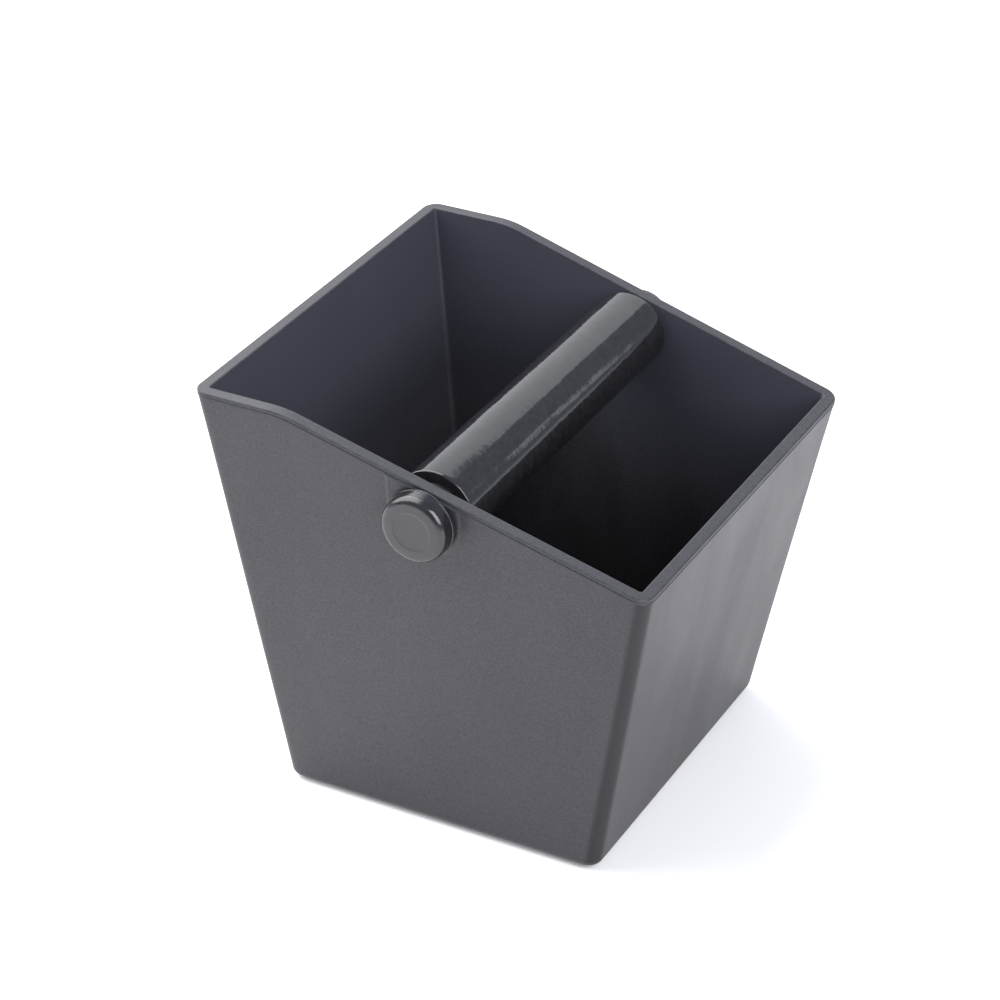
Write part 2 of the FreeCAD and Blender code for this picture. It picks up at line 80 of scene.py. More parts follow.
# Millimetres, finer than the CAD model.
LAYOUT_HEIGHT = 125.0  # where the columns of the side walls are spaced
INSIDE_CORNER_TOP = 0.9
INSIDE_CORNER_BOTTOM = 3.2
BEAD_BOTTOM = 1.8
BEAD_PROUD = 0.16
PAD_EDGE = 1.3
WALL_WAVE = 0.22
SLEEVE_WAVE = 0.16
SLEEVE_RIPPLE = 0.05
THREAD_PITCH = 1.25
THREAD_DEPTH = 0.62
NECK_RADIUS = 3.3
THREAD_END = 75.5  # from the middle of the bar

FEET = ("foot_front_high", "foot_front_low", "foot_rear_high", "foot_rear_low")

# Where a point of the bucket lies.
FLAT, OUTER, RIM, INNER = range(4)


def box_mm(node):
    """A node's lowest and highest corners at rest, in millimetres."""
    low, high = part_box(node)
    return np.array(low) / MM, np.array(high) / MM


tube_low, tube_high = box_mm("bar_tube")
BAR_X = float(tube_low[0] + tube_high[0]) / 2
BAR_Z = float(tube_low[2] + tube_high[2]) / 2
BAR_MIDDLE = float(tube_low[1] + tube_high[1]) / 2


# ------------------------------------------------------------------ materials

class Shader:
    """A node material with a few short ways to add and join nodes."""

    def __init__(self, name):
        self.material = bpy.data.materials.new(name)
        self.material.use_nodes = True
        self.tree = self.material.node_tree
        self.tree.nodes.clear()
        self.output = self.node("ShaderNodeOutputMaterial")
        self.surface = self.node("ShaderNodeBsdfPrincipled")
        self.join(self.surface.outputs["BSDF"], self.output.inputs["Surface"])
        self.place = self.node("ShaderNodeTexCoord").outputs["Object"]

    def node(self, kind, **settings):
        made = self.tree.nodes.new(kind)
        for key, value in settings.items():
            setattr(made, key, value)
        return made

    def join(self, source, target):
        self.tree.links.new(source, target)

    def put(self, target, value):
        """Join a node's output to a socket, or set the socket to a constant."""
        if isinstance(value, bpy.types.NodeSocket):
            self.join(value, target)
        else:
            target.default_value = value

    def set(self, **values):
        """Constant values on the surface shader's own sockets."""
        for key, value in values.items():
            self.surface.inputs[key.replace("_", " ")].default_value = value

    def noise(self, scale, detail=2.0, roughness=0.5, stretch=None, distortion=0.0):
        made = self.node("ShaderNodeTexNoise")
        made.inputs["Scale"].default_value = scale
        made.inputs["Detail"].default_value = detail
        made.inputs["Roughness"].default_value = roughness
        made.inputs["Distortion"].default_value = distortion
        self.join(self.stretched(stretch), made.inputs["Vector"])
        return made.outputs["Fac"]

    def cell_distance(self, scale):
        made = self.node("ShaderNodeTexVoronoi")
        made.inputs["Scale"].default_value = scale
        self.join(self.place, made.inputs["Vector"])
        return made.outputs["Distance"]

    def stretched(self, stretch):
        """The object's coordinates, scaled by stretch."""
        if stretch is None:
            return self.place
        mapping = self.node("ShaderNodeMapping")
        mapping.inputs["Scale"].default_value = stretch
        self.join(self.place, mapping.inputs["Vector"])
        return mapping.outputs["Vector"]

    def remap(self, value, low, high, to_low=0.0, to_high=1.0):
        """A smooth step from to_low at low to to_high at high."""
        made = self.node("ShaderNodeMapRange", interpolation_type="SMOOTHSTEP")
        self.put(made.inputs["Value"], value)
        for key, number in (("From Min", low), ("From Max", high), ("To Min", to_low), ("To Max", to_high)):
            made.inputs[key].default_value = number
        return made.outputs["Result"]

    def math(self, operation, first, second):
        made = self.node("ShaderNodeMath", operation=operation)
        self.put(made.inputs[0], first)
        self.put(made.inputs[1], second)
        return made.outputs["Value"]

    def blend(self, share, first, second):
        """From the first colour to the second by share."""
        made = self.node("ShaderNodeMix", data_type="RGBA")
        self.put(made.inputs["Factor"], share)
        for key, value in (("A", first), ("B", second)):
            socket = [item for item in made.inputs if item.name == key and item.type == "RGBA"][0]
            self.put(socket, value)
        return [item for item in made.outputs if item.type == "RGBA"][0]

    def attribute(self, name):
        return self.node("ShaderNodeAttribute", attribute_name=name).outputs["Fac"]

    def bump(self, layers):
        """Stack bumps, each (height, distance in metres, strength)."""
        normal = None
        for height, distance, strength in layers:
            made = self.node("ShaderNodeBump")
            made.inputs["Distance"].default_value = distance
            made.inputs["Strength"].default_value = strength
            self.join(height, made.inputs["Height"])
            if normal is not None:
                self.join(normal, made.inputs["Normal"])
            normal = made.outputs["Normal"]
        self.join(normal, self.surface.inputs["Normal"])


    def colour(self, value):
        self.join(value, self.surface.inputs["Base Color"])

    def roughness(self, value):
        self.join(value, self.surface.inputs["Roughness"])


def rgb(red, green, blue):
    """An opaque colour."""
    return (red, green, blue, 1.0)


def shell_material():
    """Satin moulded ABS: spark-eroded grain, faint flow marks, rubbed edges, light scuffs. Painted shade
    darkens the outer corners and the deep inside; painted light brightens the inside walls near the rim; a
    painted highlight lightens the rim's inner edge.
    """
    shader = Shader("satin_abs")
    cloud = shader.noise(14.0, 3.0, 0.55)
    flow = shader.noise(30.0, 3.0, 0.6, stretch=(1.0, 1.0, 0.35), distortion=0.6)
    grain = shader.noise(2100.0, 2.0, 0.6)
    speck = shader.noise(1300.0, 3.0, 0.75)
    rubbed = shader.attribute("edge")
    inside = shader.attribute("inside")
    depth = shader.attribute("depth")
    base = shader.blend(shader.remap(cloud, 0.3, 0.7), rgb(0.023, 0.023, 0.028), rgb(0.027, 0.027, 0.032))
    base = shader.blend(shader.remap(speck, 0.36, 0.64, 0.0, 0.8), base, rgb(0.046, 0.046, 0.053))
    # painted shade: the outer upright corners are darkened nearly to black, for the shade they show
    turned = shader.remap(shader.attribute("corner"), 0.05, 0.8)
    base = shader.blend(turned, base, rgb(0.006, 0.006, 0.008))
    # painted light: the inside walls are lighter and cooler near the rim, fading with depth, for the
    # skylight that falls there
    haze_and_painted_light = shader.math("MULTIPLY", inside, shader.remap(depth, 0.0, 0.75, 1.0, 0.0))
    base = shader.blend(haze_and_painted_light, base, rgb(0.048, 0.050, 0.066))
    # painted shade: the inside darkens with depth, with a wobble from the flow marks, for the shade deep in
    # the box
    painted_deep_shade = shader.math("ADD", depth, shader.remap(flow, 0.3, 0.7, -0.12, 0.12))
    painted_deep_shade = shader.math("MULTIPLY", inside, shader.remap(painted_deep_shade, 0.35, 0.9, 0.0, 0.85))
    base = shader.blend(painted_deep_shade, base, rgb(0.009, 0.008, 0.008))
    # rubbed edges: real wear, and on the rim's inner rounding, where the edge field is highest, also a
    # painted highlight
    scuff = shader.remap(shader.noise(160.0, 4.0, 0.65), 0.3, 0.7, 0.05, 0.5)
    wear_and_painted_highlight = shader.math("MULTIPLY", rubbed, scuff)
    base = shader.blend(wear_and_painted_highlight, base, rgb(0.085, 0.088, 0.100))
    shader.colour(base)
    satin = shader.remap(flow, 0.25, 0.75, 0.40, 0.49)
    fine = shader.remap(grain, 0.3, 0.7, -0.03, 0.03)
    shader.roughness(shader.math("ADD", satin, fine))
    shader.set(IOR=1.46)
    shader.bump([(cloud, 0.0009, 0.10), (speck, 0.00012, 0.45), (grain, 0.00008, 0.7)])
    return shader.material


def sleeve_material():
    """Smooth glossy rubber with slight unevenness, faint rub marks and a little lint."""
    shader = Shader("sleeve_rubber")
    wave = shader.noise(90.0, 2.0, 0.5, stretch=(1.0, 0.45, 1.0))
    skin = shader.noise(420.0, 3.0, 0.6)
    fine = shader.noise(1900.0, 2.0, 0.6)
    base = shader.blend(shader.remap(skin, 0.3, 0.7), rgb(0.010, 0.010, 0.011), rgb(0.017, 0.017, 0.018))
    spot = shader.remap(shader.cell_distance(210.0), 0.03, 0.06, 1.0, 0.0)
    patch = shader.remap(shader.noise(95.0, 1.0), 0.66, 0.70)
    lint = shader.math("MULTIPLY", spot, patch)
    base = shader.blend(lint, base, rgb(0.32, 0.32, 0.33))
    shader.colour(base)
    shader.roughness(shader.remap(skin, 0.3, 0.7, 0.06, 0.11))
    shader.set(IOR=1.68)
    shader.bump([(wave, 0.0012, 0.12), (skin, 0.00012, 0.25), (fine, 0.00002, 0.2)])
    return shader.material


def knob_material():
    """Glossy moulded plastic with faint orange peel and polishing marks."""
    shader = Shader("knob_plastic")
    peel = shader.noise(420.0, 2.0, 0.5)
    cloud = shader.noise(60.0, 3.0, 0.6)
    # on the knob this noise only mottles the rubbing and the gloss
    haze_and_painted_light = shader.noise(240.0, 4.0, 0.65)
    base = shader.blend(shader.remap(cloud, 0.3, 0.7), rgb(0.008, 0.008, 0.010), rgb(0.016, 0.016, 0.019))
    rubbed = shader.math("MULTIPLY", shader.attribute("edge"), shader.remap(haze_and_painted_light, 0.4, 0.7, 0.0, 0.35))
    base = shader.blend(rubbed, base, rgb(0.045, 0.045, 0.050))
    shader.colour(base)
    shader.roughness(shader.remap(haze_and_painted_light, 0.3, 0.75, 0.13, 0.30))
    shader.set(IOR=1.66)
    shader.bump([(peel, 0.00006, 0.22)])
    return shader.material


def metal_material(name, colour, dull, rough, stretch):
    """Drawn or turned metal: fine streaks, tarnish clouds and bright scratches."""
    shader = Shader(name)
    streak = shader.noise(1300.0, 3.0, 0.65, stretch=stretch)
    cloud = shader.noise(90.0, 3.0, 0.6)
    base = shader.blend(shader.remap(cloud, 0.3, 0.75), rgb(*colour), rgb(*dull))
    base = shader.blend(shader.remap(streak, 0.4, 0.8, 0.0, 0.35), base, rgb(*dull))
    shader.colour(base)
    shader.roughness(shader.remap(streak, 0.3, 0.7, *rough))
    shader.set(Metallic=1.0)
    shader.bump([(streak, 0.00003, 0.3), (cloud, 0.00005, 0.1)])
    return shader.material


def nylon_material(name, dark, light, rough):
    """Moulded nylon: a slightly mottled, waxy surface."""
    shader = Shader(name)
    mottle = shader.noise(240.0, 3.0, 0.6)
    grain = shader.noise(1600.0, 2.0, 0.6)
    shader.colour(shader.blend(shader.remap(mottle, 0.3, 0.7), rgb(*dark), rgb(*light)))
    shader.roughness(shader.remap(grain, 0.3, 0.7, rough - 0.05, rough + 0.06))
    shader.set(IOR=1.53)
    shader.bump([(mottle, 0.00006, 0.15), (grain, 0.00002, 0.3)])
    return shader.material


def foot_material():
    """Matte rubber with a bloom and dust on its rubbed underside."""
    shader = Shader("foot_rubber")
    mottle = shader.noise(300.0, 4.0, 0.65)
    grain = shader.noise(1500.0, 2.0, 0.6)
    base = shader.blend(shader.remap(mottle, 0.3, 0.7), rgb(0.020, 0.020, 0.021), rgb(0.034, 0.034, 0.035))
    dust = shader.math("MULTIPLY", shader.attribute("edge"), shader.remap(mottle, 0.45, 0.7))
    base = shader.blend(dust, base, rgb(0.13, 0.125, 0.115))
    shader.colour(base)
    shader.roughness(shader.remap(grain, 0.3, 0.7, 0.62, 0.78))
    shader.bump([(mottle, 0.00008, 0.2), (grain, 0.00004, 0.4)])
    return shader.material


def floor_material():
    """Plain pale paper sweep with the faintest mottling."""
    shader = Shader("pale_floor")
    cloud = shader.noise(3.0, 3.0, 0.5)
    shader.colour(shader.blend(shader.remap(cloud, 0.3, 0.7), rgb(0.90, 0.90, 0.90), rgb(0.92, 0.92, 0.92)))
    shader.set(Roughness=0.9, Emission_Color=(1.0, 1.0, 1.0, 1.0), Emission_Strength=0.14)
    shader.bump([(shader.noise(500.0, 2.0), 0.0001, 0.05)])
    return shader.material


STEEL = (0.60, 0.60, 0.61)
DULL_STEEL = (0.42, 0.42, 0.43)
ALONG_BAR = (1, 0.02, 1)
ROUND_BAR = (0.2, 1, 0.2)

MATERIALS = {
    "bucket_shell": shell_material(),
    "sleeve_rubber": sleeve_material(),
    "knob_gloss": knob_material(),
    "tube_steel": metal_material("tube_steel", STEEL, DULL_STEEL, (0.24, 0.40), ALONG_BAR),
    "spacer_steel": metal_material("spacer_steel", (0.55, 0.55, 0.56), (0.40, 0.40, 0.41), (0.28, 0.44),
                                   (0.1, 1, 0.1)),
    "stud_steel": metal_material("stud_steel", (0.62, 0.62, 0.63), (0.45, 0.45, 0.45), (0.22, 0.38),
                                 ROUND_BAR),
    "insert_brass": metal_material("insert_brass", (0.72, 0.53, 0.25), (0.50, 0.35, 0.16), (0.24, 0.42),
                                   ROUND_BAR),
    "bush_nylon": nylon_material("bush_nylon", (0.020, 0.020, 0.022), (0.032, 0.032, 0.035), 0.45),
    "washer_nylon": nylon_material("washer_nylon", (0.60, 0.58, 0.54), (0.72, 0.71, 0.67), 0.42),
    "foot_rubber": foot_material(),
}


# ------------------------------------------------------------------ mesh helpers

def make_object(name, points, faces, smooth_angle=30.0, **fields):
    """An object from points in millimetres, with named per-point values for its material."""
    mesh = bpy.data.meshes.new(name)
    mesh.from_pydata((np.asarray(points) * MM).tolist(), [], faces)
    for field, values in fields.items():
        layer = mesh.attributes.new(field, "FLOAT", "POINT")
        layer.data.foreach_set("value", np.asarray(values, dtype=np.float32))
    work = bmesh.new()
    work.from_mesh(mesh)
    bmesh.ops.recalc_face_normals(work, faces=work.faces)
    work.to_mesh(mesh)
    work.free()
    mesh.shade_smooth()
    mesh.set_sharp_from_angle(angle=math.radians(smooth_angle))
    made = bpy.data.objects.new(name, mesh)
    bpy.context.scene.collection.objects.link(made)
    return made


def finish_piece(piece, slot, body, *nodes):
    """Give a piece its material and let it ride on its body in place of CAD nodes."""
    piece.data.materials.clear()
    piece.data.materials.append(MATERIALS[slot])
    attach(piece, body)
    if nodes:
        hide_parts(*nodes)


def rounded(corners, closed, steps=6):
    """A profile through (along, radius, round) corners, each corner rounded with an arc."""
    count = len(corners)
    points = []
    for index, (along, radius, size) in enumerate(corners):
        here = np.array([along, radius], dtype=float)
        ends = not closed and index in (0, count - 1)
        if size <= 0 or ends:
            points.append(here)
            continue
        back = np.array(corners[index - 1][:2], dtype=float) - here
        ahead = np.array(corners[(index + 1) % count][:2], dtype=float) - here
        back_length, ahead_length = np.linalg.norm(back), np.linalg.norm(ahead)
        back, ahead = back / back_length, ahead / ahead_length
        angle = math.acos(max(-1.0, min(1.0, float(back @ ahead))))
        if angle > math.pi - 0.01:
            points.append(here)
            continue
        reach = min(size / math.tan(angle / 2), back_length * 0.49, ahead_length * 0.49)
        size = reach * math.tan(angle / 2)
        middle = here + (back + ahead) / np.linalg.norm(back + ahead) * (size / math.sin(angle / 2))
        start = here + back * reach - middle
        end = here + ahead * reach - middle
        sweep = math.acos(max(-1.0, min(1.0, float(start @ end) / (size * size))))
        for step in range(steps + 1):
            share = step / steps
            spoke = math.sin((1 - share) * sweep) * start + math.sin(share * sweep) * end
            points.append(middle + spoke / math.sin(sweep))
    return np.array(points)


def densify(profile, closed, longest):
    """Split a profile's long runs."""
    points = []
    count = len(profile)
    for index in range(count if closed else count - 1):
        start, end = profile[index], profile[(index + 1) % count]
        parts = max(1, math.ceil(np.linalg.norm(end - start) / longest))
        for part in range(parts):
            points.append(start + (end - start) * part / parts)
    if not closed:
        points.append(profile[-1])
    return np.array(points)


def lathe(name, profile, closed, segments=96, axis="Y", centre=(BAR_X, BAR_Z), shape=None, edge=None):
    """Turn a profile of (along, radius) about the bar's axis, or about another axis through centre.

    shape(along, radius, angle) may vary the form, and edge(along, radius) says how worn a place is.
    """
    along, radius = profile[:, 0], profile[:, 1]
    rows = len(profile)
    points, faces, worn = [], [], []
    row_start = []
    for row in range(rows):
        on_axis = not closed and row in (0, rows - 1) and radius[row] < 1e-6
        row_start.append((len(points), on_axis))
        for segment in range(1 if on_axis else segments):
            angle = 2 * math.pi * segment / segments
            place, reach = along[row], radius[row]
            if shape is not None and not on_axis:
                place, reach = shape(place, reach, angle)
            across, up = reach * math.cos(angle), reach * math.sin(angle)
            if axis == "Y":
                points.append((centre[0] + across, place, centre[1] + up))
            else:
                points.append((centre[0] + across, centre[1] + up, place))
            worn.append(0.0 if edge is None else edge(along[row], radius[row]))
    for row in range(rows if closed else rows - 1):
        (first, first_tip), (second, second_tip) = row_start[row], row_start[(row + 1) % rows]
        for segment in range(segments):
            after = (segment + 1) % segments
            if first_tip:
                faces.append((first, second + segment, second + after))
            elif second_tip:
                faces.append((first + segment, second, first + after))
            else:
                faces.append((first + segment, second + segment, second + after, first + after))
    return make_object(name, points, faces, edge=worn)


def smoothstep(low, high, value):
    """0 below low, 1 above high, and a smooth step between."""
    share = np.clip((value - low) / (high - low), 0.0, 1.0)
    return share * share * (3 - 2 * share)


# ------------------------------------------------------------------ bucket

def rim_height(x, drop):
    """Height of the rim line, lowered by drop, with its bend rounded."""
    angle = math.atan(SLOPE)
    reach = BEND_RADIUS * math.tan(angle / 2)
    start = BEND_X - reach
    end = BEND_X + reach * math.cos(angle)
    arc = HIGH_RIM - BEND_RADIUS + np.sqrt(np.clip(BEND_RADIUS ** 2 - (x - start) ** 2, 0, None))
    height = np.where(x < start, HIGH_RIM, np.where(x < end, arc, HIGH_RIM - SLOPE * (x - BEND_X)))
    return height - drop


class Perimeter:
    """Points round the bucket's plan, kept in the same order at every height."""

    def __init__(self):
        places = self.side_places()
        high, low = self.limits(LAYOUT_HEIGHT, 0.0)[:2]
        shares = (places + high - CORNER_ROUND) / (high + low - 2 * CORNER_ROUND)
        across = np.linspace(0, 1, 57)
        quarter = math.pi / 2
        arc = np.linspace(0, quarter, 11)
        rows = []

        def side(order, share_across, outwards):
            rows.extend((shares[index], share_across, 0, outwards, places[index]) for index in order)

        def end(share_along, order, outwards):
            rows.extend((share_along, share, outwards, 0, np.nan) for share in order)

        def corner(share_along, share_across, begin):
            for angle in begin + arc[:-1]:
                rows.append((share_along, share_across, math.cos(angle), math.sin(angle), np.nan))

        last = len(places) - 1
        side(range(last), 0, -1)
        corner(1, 0, -quarter)
        end(1, across[:-1], 1)
        corner(1, 1, 0)
        side(range(last, 0, -1), 1, 1)
        corner(0, 1, quarter)
        end(0, across[:0:-1], -1)
        corner(0, 0, 2 * quarter)
        table = np.array(rows, dtype=float)
        self.along, self.across, self.nx, self.ny, self.fixed = table.T
        on_side = ~np.isnan(self.fixed)
        self.fixed = np.nan_to_num(self.fixed)
        near = 1 - smoothstep(PAD_RADIUS + 4, PAD_RADIUS + 26, np.abs(self.fixed - BAR_X))
        self.hold = np.where(on_side, near, 0.0)
        self.count = len(rows)

        # the middle of each corner's arc
        bend, end_wall = len(arc) - 1, len(across) - 1
        half = len(arc) // 2
        self.corners = [
            last + half,
            last + bend + end_wall + half,
            2 * last + 2 * bend + end_wall + half,
            self.count - bend + half,
        ]

    @staticmethod
    def limits(z, grow):
        """Distances to the high end, the low end and the sides at height z."""
        high = RIM_LENGTH / 2 - HIGH_END_DRAFT * (HIGH_RIM - z) + grow
        low = RIM_LENGTH / 2 - LOW_END_DRAFT * (LOW_RIM - z) + grow
        half = RIM_WIDTH / 2 - SIDE_DRAFT * (HIGH_RIM - z) + grow
        return high, low, half

    def side_places(self):
        """X places along a side wall: close together at the pad and the bend."""
        high, low = self.limits(LAYOUT_HEIGHT, 0.0)[:2]
        start, end = -high + CORNER_ROUND, low - CORNER_ROUND
        pad = PAD_RADIUS + 1
        stops = [start, start + 3, BEND_X - 6, BEND_X + 6, BAR_X - pad, BAR_X + pad, end - 3, end]
        gaps = [0.8, 2.4, 1.0, 2.4, 0.45, 2.4, 0.8]
        places = [start]
        for begin, stop, gap in zip(stops, stops[1:], gaps):
            parts = math.ceil((stop - begin) / gap)
            places.extend(begin + (stop - begin) * (part + 1) / parts for part in range(parts))
        return np.array(places)

    def at(self, z, grow, radius):
        """The loop's points at heights z. Columns near a bar hole keep their x in the upper wall."""
        high, low, half = self.limits(z, grow)
        x = -high + radius + self.along * (high + low - 2 * radius) + self.nx * radius
        x = x + self.hold * smoothstep(40.0, 100.0, z) * (self.fixed - x)
        y = -half + radius + self.across * (2 * half - 2 * radius) + self.ny * radius
        return np.stack([x, y, z + 0 * x], axis=1)

    def on_rim(self, drop, grow, radius):
        """The loop's points on the rim line lowered by drop.

        The walls lean, so a point's x depends on its height and the other way round.
        """
        z = np.full(self.count, HIGH_RIM)
        for _ in range(8):
            loop = self.at(z, grow, radius)
            z = rim_height(loop[:, 0], drop)
        return self.at(z, grow, radius)


def grid_patch(loop, corners, start_index, points, faces):
    """Fill a loop with quads between its four corners."""
    count = len(loop)
    order = [(corners[3] + step) % count for step in range(count)]
    first = (corners[0] - corners[3]) % count
    second = (corners[1] - corners[3]) % count
    third = (corners[2] - corners[3]) % count
    wide, tall = first, second - first
    south = [order[step] for step in range(wide + 1)]
    east = [order[first + step] for step in range(tall + 1)]
    north = [order[third - step] for step in range(wide + 1)]
    west = [order[(count - step) % count] for step in range(tall + 1)]
    index = np.zeros((tall + 1, wide + 1), dtype=int)
    for row in range(tall + 1):
        v = row / tall
        for column in range(wide + 1):
            u = column / wide
            if row == 0:
                index[row, column] = start_index + south[column]
            elif row == tall:
                index[row, column] = start_index + north[column]
            elif column == 0:
                index[row, column] = start_index + west[row]
            elif column == wide:
                index[row, column] = start_index + east[row]
            else:
                edges = (1 - v) * loop[south[column]] + v * loop[north[column]]
                edges = edges + (1 - u) * loop[west[row]] + u * loop[east[row]]
                bilinear = (1 - u) * (1 - v) * loop[south[0]] + u * (1 - v) * loop[south[wide]]
                bilinear = bilinear + (1 - u) * v * loop[north[0]] + u * v * loop[north[wide]]
                index[row, column] = len(points)
                points.append(edges - bilinear)
    for row in range(tall):
        for column in range(wide):
            faces.append((index[row, column], index[row, column + 1], index[row + 1, column + 1],
                          index[row + 1, column]))


def bucket_levels(perimeter):
    """Loops from the underside up the outside, over the rim and down to the floor inside."""
    loops = []

    def add(points, worn, zone):
        loops.append((points, worn, zone))

    turn = np.linspace(0, math.pi / 2, 7)
    base = FOOT_PROUD
    for angle in turn:
        inset = BOTTOM_ROUND * (1 - math.sin(angle))
        z = base + BOTTOM_ROUND * (1 - math.cos(angle))
        worn = math.sin(2 * angle)
        add(perimeter.at(np.full(perimeter.count, z), -inset, CORNER_ROUND - inset), worn, OUTER)
    top = perimeter.on_rim(BEAD_BOTTOM + 0.35, 0.0, CORNER_ROUND)
    low = base + BOTTOM_ROUND
    shares = list(np.linspace(0.006, 0.79, 36)) + list(np.linspace(0.80, 1.0, 60))
    for share in shares:
        z = low + share * (top[:, 2] - low)
        add(perimeter.at(z, 0.0, CORNER_ROUND), 0.0, OUTER)
    # a fine ridge below a fine groove, each place a drop and how far it stands out
    bead = [(0.1, 0.0), (0.02, 0.5), (-0.1, 1.0), (-0.22, 0.6),
            (-0.3, -0.1), (-0.38, -1.0), (-0.5, -1.0), (-0.58, 0.0)]
    for drop, proud in bead:
        grow = proud * BEAD_PROUD
        worn = 0.4 * max(proud, 0.0)
        add(perimeter.on_rim(BEAD_BOTTOM + drop, grow, CORNER_ROUND + grow), worn, RIM)
    for drop in (1.1, RIM_OUTER_ROUND + 0.1):
        add(perimeter.on_rim(drop, 0.0, CORNER_ROUND), 0.1, RIM)
    for angle in np.linspace(0, math.pi / 2, 8):
        inset = RIM_OUTER_ROUND * (1 - math.cos(angle))
        drop = RIM_OUTER_ROUND * (1 - math.sin(angle))
        worn = 0.15 + 0.5 * math.sin(2 * angle)
        add(perimeter.on_rim(drop, -inset, rim_corner(inset)), worn, RIM)
    inner = WALL - RIM_INNER_ROUND
    for inset in np.linspace(RIM_OUTER_ROUND + 0.15, inner - 0.1, 5):
        add(perimeter.on_rim(0.0, -inset, rim_corner(inset)), 0.12, RIM)
    # the rim's inner rounding is marked as most worn, which also paints a highlight along the inner edge
    for angle in np.linspace(0, math.pi / 2, 6):
        inset = inner + RIM_INNER_ROUND * math.sin(angle)
        drop = RIM_INNER_ROUND * (1 - math.cos(angle))
        worn = 0.3 + 0.5 * math.sin(2 * angle)
        add(perimeter.on_rim(drop, -inset, rim_corner(inset)), worn, RIM)
    rim = perimeter.on_rim(RIM_INNER_ROUND + 0.2, -WALL, INSIDE_CORNER_TOP)
    floor_z = FOOT_PROUD + FLOOR
    bottom = floor_z + FLOOR_ROUND
    for share in list(np.linspace(1.0, 0.975, 3)) + list(np.linspace(0.95, 0.0, 52)):
        z = bottom + share * (rim[:, 2] - bottom)
        add(perimeter.at(z, -WALL, inside_corner(z)), 0.0, INNER)
    for angle in np.linspace(0, math.pi / 2, 8)[1:]:
        inset = FLOOR_ROUND * (1 - math.cos(angle))
        z = floor_z + FLOOR_ROUND * (1 - math.sin(angle))
        radius = INSIDE_CORNER_BOTTOM * (1 - 0.7 * inset / FLOOR_ROUND)
        add(perimeter.at(np.full(perimeter.count, z), -WALL - inset, radius), 0.0, INNER)
    return loops


def rim_corner(inset):
    """Corner radius on the rim's top, from the outside towards the inside."""
    return CORNER_ROUND + (INSIDE_CORNER_TOP - CORNER_ROUND) * inset / WALL


def inside_corner(z):
    """Corner radius of the inside at height z."""
    share = (z - FOOT_PROUD - FLOOR) / (HIGH_RIM - FLOOR)
    return INSIDE_CORNER_BOTTOM + (INSIDE_CORNER_TOP - INSIDE_CORNER_BOTTOM) * share


def pad_cover(x, z):
    """1 on the raised pad round a bar hole and 0 off it, with a soft moulded edge."""
    below = np.hypot(x - BAR_X, z - BAR_Z) - PAD_RADIUS
    above = np.abs(x - BAR_X) - PAD_RADIUS
    outside = np.where(z < BAR_Z, below, above)
    return 1 - smoothstep(-PAD_EDGE, 0.0, outside)


def raise_pads(points, zones, facing):
    """Raised pads on the outside of both side walls, up to the bead."""
    on_side = np.abs(facing[:, 1]) > 0.99
    cover = pad_cover(points[:, 0], points[:, 2]) * (zones == OUTER) * on_side
    points[:, 1] += np.sign(points[:, 1]) * PAD_PROUD * cover


def wave_walls(points, zones, facing):
    """A slow unevenness of the walls, inwards only, that fades at the rim, the bar and the base."""
    for point, zone, outwards in zip(points, zones, facing):
        if zone not in (OUTER, INNER):
            continue
        fade = smoothstep(14.0, 34.0, math.hypot(point[0] - BAR_X, point[2] - BAR_Z))
        fade = fade * smoothstep(0.0, 20.0, rim_height(point[0], 0.0) - point[2])
        fade = fade * smoothstep(2.0, 16.0, point[2])
        if fade <= 0:
            continue
        wave = 0.5 + 0.5 * noise.noise(Vector(point) * 0.019 + Vector((3.1, 7.7, 1.3)))
        point[:2] -= wave * fade * WALL_WAVE * outwards


def make_bucket():
    """The moulded shell, with fields that tell its material where it is worn, turned or inside, which it
    uses for wear and for painted light and shade.
    """
    perimeter = Perimeter()
    loops = bucket_levels(perimeter)
    count = perimeter.count
    points, worn, zones = [], [], []
    for loop, edge, zone in loops:
        points.extend(loop)
        worn.extend([edge] * count)
        zones.extend([zone] * count)
    faces = []
    for level in range(len(loops) - 1):
        low, high = level * count, (level + 1) * count
        for step in range(count):
            after = (step + 1) % count
            faces.append((low + step, low + after, high + after, high + step))
    grid_patch(loops[0][0], perimeter.corners, 0, points, faces)
    grid_patch(loops[-1][0], perimeter.corners, (len(loops) - 1) * count, points, faces)
    patched = len(points) - len(worn)
    worn.extend([0.0] * patched)
    zones = np.array(zones + [FLAT] * patched)
    facing = np.tile(np.stack([perimeter.nx, perimeter.ny], axis=1), (len(loops), 1))
    facing = np.vstack([facing, np.zeros((patched, 2))])
    points = np.array(points)
    raise_pads(points, zones, facing)
    wave_walls(points, zones, facing)

    # turned is 1 along the outer corners, where the material paints shade, and depth runs from 0 at the rim
    # to 1 on the floor; inside, the material paints light high up and shade deep down by it
    turned = 2 * np.abs(facing[:, 0] * facing[:, 1]) * (zones == OUTER)
    rims = rim_height(points[:, 0], 0.0)
    floor_z = FOOT_PROUD + FLOOR
    inside = (zones == INNER) | ((zones == FLAT) & (points[:, 2] > floor_z - 0.5))
    depth = np.clip((rims - points[:, 2]) / (rims - floor_z), 0.0, 1.0)
    shell = make_object("bucket_moulding", points, faces, smooth_angle=32.0, edge=worn,
                        inside=inside.astype(float), depth=depth, corner=turned)
    move_along_y(shell, BAR_MIDDLE)
    apply_cuts(shell, [hole_cutter()] + [seat_cutter(foot) for foot in FEET])
    finish_piece(shell, "bucket_shell", "box", "bucket")


def hole_cutter():
    """A rod through both side walls, for the bushes."""
    end = RIM_WIDTH / 2 + 15.5
    profile = np.array([(-end, 0.0), (-end, HOLE_RADIUS), (end, HOLE_RADIUS), (end, 0.0)])
    return lathe("hole_cutter", profile, False)


